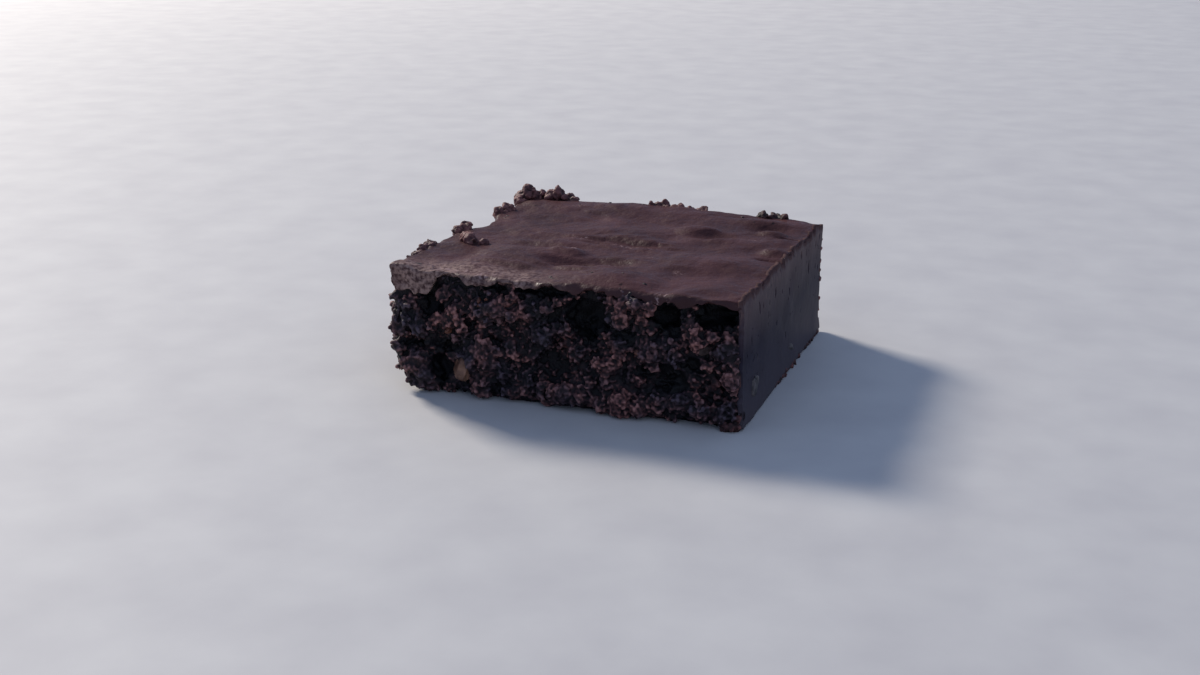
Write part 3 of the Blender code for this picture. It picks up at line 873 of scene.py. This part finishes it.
# %% Peel
PEEL = [
    (-34.6, -31, 13.1, 0.8), (-34, -31.6, 12.5, 0.6), (-30.5, -33.3, 13.9, 0.8),
    (-30, -33.4, 13.3, 0.55), (-23.3, -33.5, 13.4, 0.7), (-16.4, -33.6, 20.3, 0.5),
    (-15.7, -33.7, 19.6, 0.45), (-16.6, -33.5, 19.2, 0.4), (-14.9, -33.9, 20.6, 0.35),
    (15.8, -33.8, 13.4, 0.5),
]
peel_places = np.array([bit[:3] for bit in PEEL])
peel_halves = np.array([bit[3] for bit in PEEL])[:, None] * chance.uniform(0.7, 1.2, (len(PEEL), 3))
peel = strew("peel_bits", BOULDER, peel_places, peel_halves)
print(len(PEEL), "bits of peel")

# %% [markdown]
# ## How raised each place is, with painted shade
#
# Cocoa dust gathers on the tips of the crumb, which are also painted lighter where light falls, and
# the hollows get painted shade. So each point learns how far it stands out from its smoothed
# surroundings, lowered by painted shade deep in holes and further in from a torn edge, which the
# finish reads. The scraps at the far right and along the cut's foot lie in shade, so painted shade
# makes them duller.

# %% Measuring what stands out
def smoothed(piece, points, times):
    """The points after moving towards the middle of their neighbours several times."""
    one, two = edge_ends(piece)
    count = np.bincount(one, minlength=len(points)) + np.bincount(two, minlength=len(points))
    for _ in range(times):
        total = np.stack([
            np.bincount(one, part[two], len(part)) + np.bincount(two, part[one], len(part))
            for part in points.T
        ], 1)
        points = 0.3 * points + 0.7 * total / np.maximum(count, 1)[:, None]
    return points


def mark_relief_and_shade(piece):
    points = points_of(piece)
    ways = normals_of(piece)
    fine = ((points - smoothed(piece, points, 5)) * ways).sum(1) / 0.09
    broad = ((points - smoothed(piece, points, 40)) * ways).sum(1) / 0.5
    x, y, z = points.T
    edge = np.minimum(np.minimum(x + HALF_WIDE, y + HALF_DEEP), HALF_DEEP - y)
    # Painted shade: lower further in from a torn edge and inside the deep holes.
    deep = 0.1 * np.clip(edge - 1.3, -1, 4) + 1.3 * in_hole(points, 1.35)
    if piece == scraps:
        # Painted shade on the scraps at the far right and along the cut's foot; the rest sit a little
        # higher.
        deep = ease((x - 14) / 6) * (0.4 * ease((z - 20) / 3) + 0.35 * ease((4 - z) / 2)) - 0.1
    relief_and_shade = np.clip(0.5 + 0.13 * np.clip(fine, -3, 3) + 0.16 * np.clip(broad, -3, 3) - deep, 0, 1)
    set_mark(piece, "relief_and_shade", relief_and_shade)
    print(piece.name, "raised, middle half:", *np.round(np.percentile(relief_and_shade, [25, 75]), 2))


for piece in (front, body, scraps):
    mark_relief_and_shade(piece)

# %% [markdown]
# ## Finishes from nodes
#
# Every finish is painted by nodes on the piece's own coordinates, in metres, so a noise of scale
# 1000 has bumps of about a millimetre. These helpers add a node and wire it.

# %% Node helpers
def new_finish(name):
    """A material, its node tree and the surface shader to wire up."""
    finish = bpy.data.materials.new(name)
    finish.use_nodes = True
    return finish, finish.node_tree, finish.node_tree.nodes["Principled BSDF"]


def noise_node(tree, scale, detail, squash=(1, 1, 1)):
    """Noise on object coordinates, stretched by squash."""
    place = tree.nodes.new("ShaderNodeTexCoord")
    sizing = tree.nodes.new("ShaderNodeMapping")
    sizing.inputs["Scale"].default_value = squash
    noise = tree.nodes.new("ShaderNodeTexNoise")
    noise.inputs["Scale"].default_value = scale
    noise.inputs["Detail"].default_value = detail
    tree.links.new(place.outputs["Object"], sizing.inputs["Vector"])
    tree.links.new(sizing.outputs["Vector"], noise.inputs["Vector"])
    return noise.outputs["Fac"]


def mark_node(tree, name):
    """The value that was stored for each point under this name."""
    mark = tree.nodes.new("ShaderNodeAttribute")
    mark.attribute_name = name
    return mark.outputs["Fac"]


def ramp_node(tree, value, stops):
    """Colours along a value. Each stop is a place from 0 to 1 and a colour."""
    ramp = tree.nodes.new("ShaderNodeValToRGB")
    ramp.color_ramp.elements.remove(ramp.color_ramp.elements[1])
    for i, (place, colour) in enumerate(stops):
        stop = ramp.color_ramp.elements[0] if i == 0 else ramp.color_ramp.elements.new(place)
        stop.position = place
        stop.color = (*colour, 1)
    tree.links.new(value, ramp.inputs["Fac"])
    return ramp.outputs["Color"]


def mix_node(tree, share, one, two, blend="MIX"):
    """Mixes two colours, by a share that is a number or another node's value."""
    mix = tree.nodes.new("ShaderNodeMix")
    mix.data_type = "RGBA"
    mix.blend_type = blend
    for socket, given in ((mix.inputs["Factor"], share), (mix.inputs[6], one), (mix.inputs[7], two)):
        if isinstance(given, bpy.types.NodeSocket):
            tree.links.new(given, socket)
        else:
            socket.default_value = (*given, 1) if isinstance(given, tuple) else given
    return mix.outputs[2]


def level_node(tree, value, low=0, high=1, out_low=0, out_high=1):
    """Stretches a value between two limits to another two."""
    level = tree.nodes.new("ShaderNodeMapRange")
    tree.links.new(value, level.inputs["Value"])
    for name, number in (("From Min", low), ("From Max", high), ("To Min", out_low), ("To Max", out_high)):
        level.inputs[name].default_value = number
    return level.outputs["Result"]


def bump_node(tree, height, depth, under=None):
    """Small relief of the given depth in millimetres."""
    bump = tree.nodes.new("ShaderNodeBump")
    bump.inputs["Distance"].default_value = depth * MM
    bump.inputs["Strength"].default_value = 1
    tree.links.new(height, bump.inputs["Height"])
    if under is not None:
        tree.links.new(under, bump.inputs["Normal"])
    return bump.outputs["Normal"]


print("helpers ready")

# %% [markdown]
# ## Torn crumb
#
# Dark plum in the hollows, nearly black and bluish there, which is painted shade, warm brown on the
# lumps, and a redder, drier brown on the tips of the crumbs, partly painted light. A ramp over the
# stored value gives these, and slow noise makes cooler and warmer patches.
# The loose crumbs are painted lighter and redder all over, for the lamp that shines through them
# from behind, so their ramp starts lighter and their patches are milder.

# %% Crumb finish
def crumb_finish(name, stops, cool=(0.32, 0.4, 0.58)):
    """Crumb whose colour follows how raised each place is, less its painted shade, a little shifted by
    noise.
    """
    finish, tree, surface = new_finish(name)
    uneven = tree.nodes.new("ShaderNodeMath")
    shift = level_node(tree, noise_node(tree, 850, 4), 0.25, 0.75, -0.29, 0.29)
    tree.links.new(mark_node(tree, "relief_and_shade"), uneven.inputs[0])
    tree.links.new(shift, uneven.inputs[1])
    shade = ramp_node(tree, uneven.outputs["Value"], stops)
    patches = level_node(tree, noise_node(tree, 150, 4), 0.42, 0.6)
    warmth = mix_node(tree, patches, cool, (1.5, 1.2, 1.14))
    shade = mix_node(tree, 1.0, shade, warmth, "MULTIPLY")
    tree.links.new(shade, surface.inputs["Base Color"])
    surface.inputs["Roughness"].default_value = 0.6
    surface.inputs["Specular IOR Level"].default_value = 0.25
    tree.links.new(bump_node(tree, noise_node(tree, 2600, 4), 0.18), surface.inputs["Normal"])
    print(name, len(tree.nodes), "nodes")
    return finish


# The lowest stops are painted shade, and the highest partly painted light.
crumb = crumb_finish("torn_crumb", [
    (0.15, (0.0014, 0.0012, 0.003)),
    (0.42, (0.009, 0.0052, 0.0078)),
    (0.58, (0.03, 0.0148, 0.0165)),
    (0.74, (0.086, 0.044, 0.043)),
    (1.0, (0.23, 0.135, 0.124)),
])
# Painted light: lighter, redder stops for crumbs lit through from behind.
loose = crumb_finish("loose_crumb", [
    (0.15, (0.01, 0.0048, 0.0056)),
    (0.42, (0.042, 0.019, 0.019)),
    (0.6, (0.085, 0.039, 0.038)),
    (0.78, (0.125, 0.06, 0.056)),
    (1.0, (0.18, 0.098, 0.09)),
], cool=(0.8, 0.66, 0.7))

# %% [markdown]
# ## Satin crust
#
# Sugar dried on top into a thin, plum brown satin film, broadly mottled. Near the front left edge it
# broke into a frosting of dull grains, painted a light taupe for the sheen it catches, lightest on
# the flap that the lamp lights, and a few flecks are painted glints. The finish mixes one colour over
# the other, each by its own noise and by a value stored with the crust.

# %% Crust colours
BLACK = (0.0, 0.0, 0.0)
satin, tree, surface = new_finish("satin_crust")
broad = noise_node(tree, 75, 3)
mottle = noise_node(tree, 620, 4)
film = ramp_node(tree, broad, [(0.34, (0.044, 0.016, 0.017)), (0.66, (0.076, 0.03, 0.031))])
mottled = level_node(tree, mottle, 0.5, 0.72, 0, 0.2)
film = mix_node(tree, mottled, film, (0.105, 0.05, 0.05))
edge_share = level_node(tree, mark_node(tree, "rim"), 0.3, 1, 0, 0.6)
film = mix_node(tree, edge_share, film, (0.05, 0.028, 0.029))
# Painted light: the frosting's light taupe, for sheen and lamp light, lightest on the flap.
grains = level_node(tree, noise_node(tree, 1300, 3), 0.36, 0.6, 0.05, 1)
lit_frost_grains = mix_node(tree, mark_node(tree, "frost_and_light"), BLACK, grains)
film = mix_node(tree, level_node(tree, lit_frost_grains), film, (0.4, 0.27, 0.232))
# Painted highlights: pale flecks where the film glints.
flecks = level_node(tree, noise_node(tree, 1500, 2), 0.56, 0.66)
shiny = level_node(tree, mark_node(tree, "glint"), 0, 0.5)
shine = mix_node(tree, shiny, BLACK, flecks)
film = mix_node(tree, level_node(tree, shine, 0, 1, 0, 0.75), film, (0.34, 0.225, 0.22))
# Painted shade: near black specks for the shade in tiny pits of the film.
pits = level_node(tree, noise_node(tree, 760, 2), 0.3, 0.25, 0, 0.75)
film = mix_node(tree, pits, film, (0.012, 0.006, 0.007))
tree.links.new(film, surface.inputs["Base Color"])
print("crust colours:", len(tree.nodes), "nodes")

# %% Crust sheen and relief
tree.links.new(level_node(tree, mottle, 0.3, 0.7, 0.36, 0.58), surface.inputs["Roughness"])
surface.inputs["IOR"].default_value = 1.25
surface.inputs["Specular IOR Level"].default_value = 0.25
fine = noise_node(tree, 1700, 4)
soft_relief = bump_node(tree, mottle, 0.25)
tree.links.new(bump_node(tree, fine, 0.08, soft_relief), surface.inputs["Normal"])
print("crust finish:", len(tree.nodes), "nodes")

# %% [markdown]
# ## Knife-smeared side
#
# The blade pressed the crumb into a smooth grey-brown film; the cool blue in it is painted light of
# the sky. Noise stretched along the upright gives its faint marks, and paler spots are smeared fat.
# The film is browner near the top, where strands of crust were dragged down, and paler again near
# the foot, which is painted light against the shade there. Its upper lip is rough and brown, or else
# it would shine as a white line.

# %% Cut side colours
smear, tree, surface = new_finish("knife_smear")
marks = noise_node(tree, 1300, 3, (1, 1, 0.12))
cloud = noise_node(tree, 170, 4)
# The blue in these colours is painted cool light of the sky.
film = ramp_node(tree, cloud, [(0.3, (0.016, 0.0145, 0.026)), (0.7, (0.028, 0.025, 0.042))])
marked = level_node(tree, marks, 0.5, 0.8, 0, 0.12)
film = mix_node(tree, marked, film, (0.045, 0.036, 0.038))
pale = level_node(tree, noise_node(tree, 420, 2), 0.66, 0.74, 0, 0.4)
film = mix_node(tree, pale, film, (0.065, 0.052, 0.05))
print("cut side's plain film:", len(tree.nodes), "nodes")

# %% Cut side from top to foot
upright = tree.nodes.new("ShaderNodeSeparateXYZ")
tree.links.new(tree.nodes.new("ShaderNodeTexCoord").outputs["Object"], upright.inputs["Vector"])
near_top = level_node(tree, upright.outputs["Z"], 0.013, 0.0255, 0, 0.75)
film = mix_node(tree, near_top, film, (0.118, 0.078, 0.08))
strands = noise_node(tree, 1900, 3, (1, 1, 0.22))
strands = level_node(tree, strands, 0.52, 0.7)
high_share = level_node(tree, upright.outputs["Z"], 0.019, 0.0235, 0, 0.7)
dragged = mix_node(tree, high_share, BLACK, strands)
film = mix_node(tree, level_node(tree, dragged), film, (0.19, 0.118, 0.108))
# Painted light: paler near the foot, against the shade that falls there.
near_foot = level_node(tree, upright.outputs["Z"], 0.015, 0.001, 0, 0.85)
film = mix_node(tree, near_foot, film, (0.08, 0.067, 0.078))
lip = mark_node(tree, "lip")
lip_share = level_node(tree, lip, 0, 1, 0, 0.85)
film = mix_node(tree, lip_share, film, (0.08, 0.044, 0.042))
tree.links.new(film, surface.inputs["Base Color"])
tree.links.new(level_node(tree, lip, 0, 1, 0.5, 0.8), surface.inputs["Roughness"])
surface.inputs["IOR"].default_value = 1.25
surface.inputs["Specular IOR Level"].default_value = 0.1
tree.links.new(bump_node(tree, marks, 0.014), surface.inputs["Normal"])
print("cut side finish:", len(tree.nodes), "nodes")

# %% [markdown]
# ## Nut and peel
#
# The nut at the low left is tan with a darker skin in patches. The one at the upper right is darker
# and greyer, and the blade smeared the sliced ones grey. The peel is warm orange brown, darkened by
# the cocoa around it. One helper serves all four, since each is two colours blended by noise.

# %% Nut and peel finishes
def bit_finish(name, scale, dark, pale, rough):
    """Two colours blended by noise, with a little relief."""
    finish, tree, surface = new_finish(name)
    patches = noise_node(tree, scale, 4)
    blend = ramp_node(tree, patches, [(0.38, dark), (0.66, pale)])
    tree.links.new(blend, surface.inputs["Base Color"])
    surface.inputs["Roughness"].default_value = rough
    surface.inputs["Specular IOR Level"].default_value = 0.3
    tree.links.new(bump_node(tree, noise_node(tree, 1100, 4), 0.28), surface.inputs["Normal"])
    print(name, len(tree.nodes), "nodes")
    return finish


kernel = bit_finish("baked_nut", 420, (0.07, 0.03, 0.019), (0.25, 0.132, 0.085), 0.5)
dull_kernel = bit_finish("dull_nut", 420, (0.026, 0.014, 0.013), (0.075, 0.048, 0.044), 0.55)
cut_kernel = bit_finish("sliced_nut", 520, (0.03, 0.024, 0.026), (0.125, 0.105, 0.102), 0.6)
zest = bit_finish("candied_peel", 700, (0.06, 0.02, 0.016), (0.18, 0.07, 0.042), 0.42)

# %% [markdown]
# ## Putting the pieces in place
#
# Each piece gets its finish and smooth shading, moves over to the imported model's frame, rides on its
# one body, and stands for the solid that it replaces.

# %% Placing, riding and replacing
def place_piece(piece, finish, node):
    piece.data.materials.clear()
    piece.data.materials.append(finish)
    piece.data.transform(TO_MODEL)
    pick(piece)
    bpy.ops.object.shade_smooth()
    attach(piece, "root")
    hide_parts(node)


print("pieces move over by", [round(c / MM, 2) for c in TO_MODEL.translation], "mm")

# %% Every piece in its place
for piece, finish in ((front, crumb), (body, crumb), (crust, satin), (cut, smear), (scraps, loose)):
    place_piece(piece, finish, "brownie")
place_piece(peel, zest, "brownie")
for nut, (node, _, _), finish in zip(nuts, NUTS, (kernel, dull_kernel, cut_kernel, cut_kernel)):
    place_piece(nut, finish, node)
pieces = [front, body, crust, cut, scraps, peel, *nuts]
print("triangles in all:", sum(triangles_of(piece) for piece in pieces))

# %% [markdown]
# ## Floor and light
#
# The square lies on a plain pale floor. A warm lamp at the back left skims over the crust and leaves
# the torn front in shade. A weak, cool lamp at the front and a dim, cool sky fill that shade.

# %% Floor
bpy.ops.mesh.primitive_plane_add(size=8, location=(0, 0, -0.00005))
floor = bpy.context.object
floor.name = "pale_floor"
ground, tree, surface = new_finish("pale_ground")
grain = noise_node(tree, 60, 4)
shade = ramp_node(tree, grain, [(0.3, (0.47, 0.46, 0.46)), (0.7, (0.53, 0.52, 0.51))])
tree.links.new(shade, surface.inputs["Base Color"])
surface.inputs["Roughness"].default_value = 0.7
floor.data.materials.append(ground)
floor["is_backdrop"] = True
print("floor", [round(side, 1) for side in floor.dimensions], "m")

# %% Light
def soft_lamp(name, place, size, watts, colour):
    """An area lamp that faces the brownie."""
    bpy.ops.object.light_add(type="AREA", location=place)
    lamp = bpy.context.object
    lamp.name = name
    lamp.data.size = size
    lamp.data.energy = watts
    lamp.data.color = colour
    lamp.rotation_euler = (-Vector(place)).to_track_quat("-Z", "Y").to_euler()


soft_lamp("key_lamp", (-2.2, 1.3, 1.6), 0.6, 112, (1.0, 0.92, 0.82))
soft_lamp("fill_lamp", (0.9, -0.9, 0.6), 0.8, 1.2, (0.8, 0.88, 1.0))
sky = bpy.data.worlds.new("soft_sky")
bpy.context.scene.world = sky
sky.use_nodes = True
background = sky.node_tree.nodes["Background"]
background.inputs["Color"].default_value = (0.5, 0.65, 1.0, 1)
background.inputs["Strength"].default_value = 0.5
bpy.context.scene.view_settings.view_transform = "Standard"
print("two lamps and a sky")

# %% [markdown]
# ## The two boxes
#
# The dressed model should stay as large as the solids, so both boxes are printed.

# %% Sizes and finish
dressed_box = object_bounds()
for name, (low, high) in (("solids", solid_box), ("dressed", dressed_box)):
    print(name, "from", [round(c * 1000, 1) for c in low], "to", [round(c * 1000, 1) for c in high], "mm")
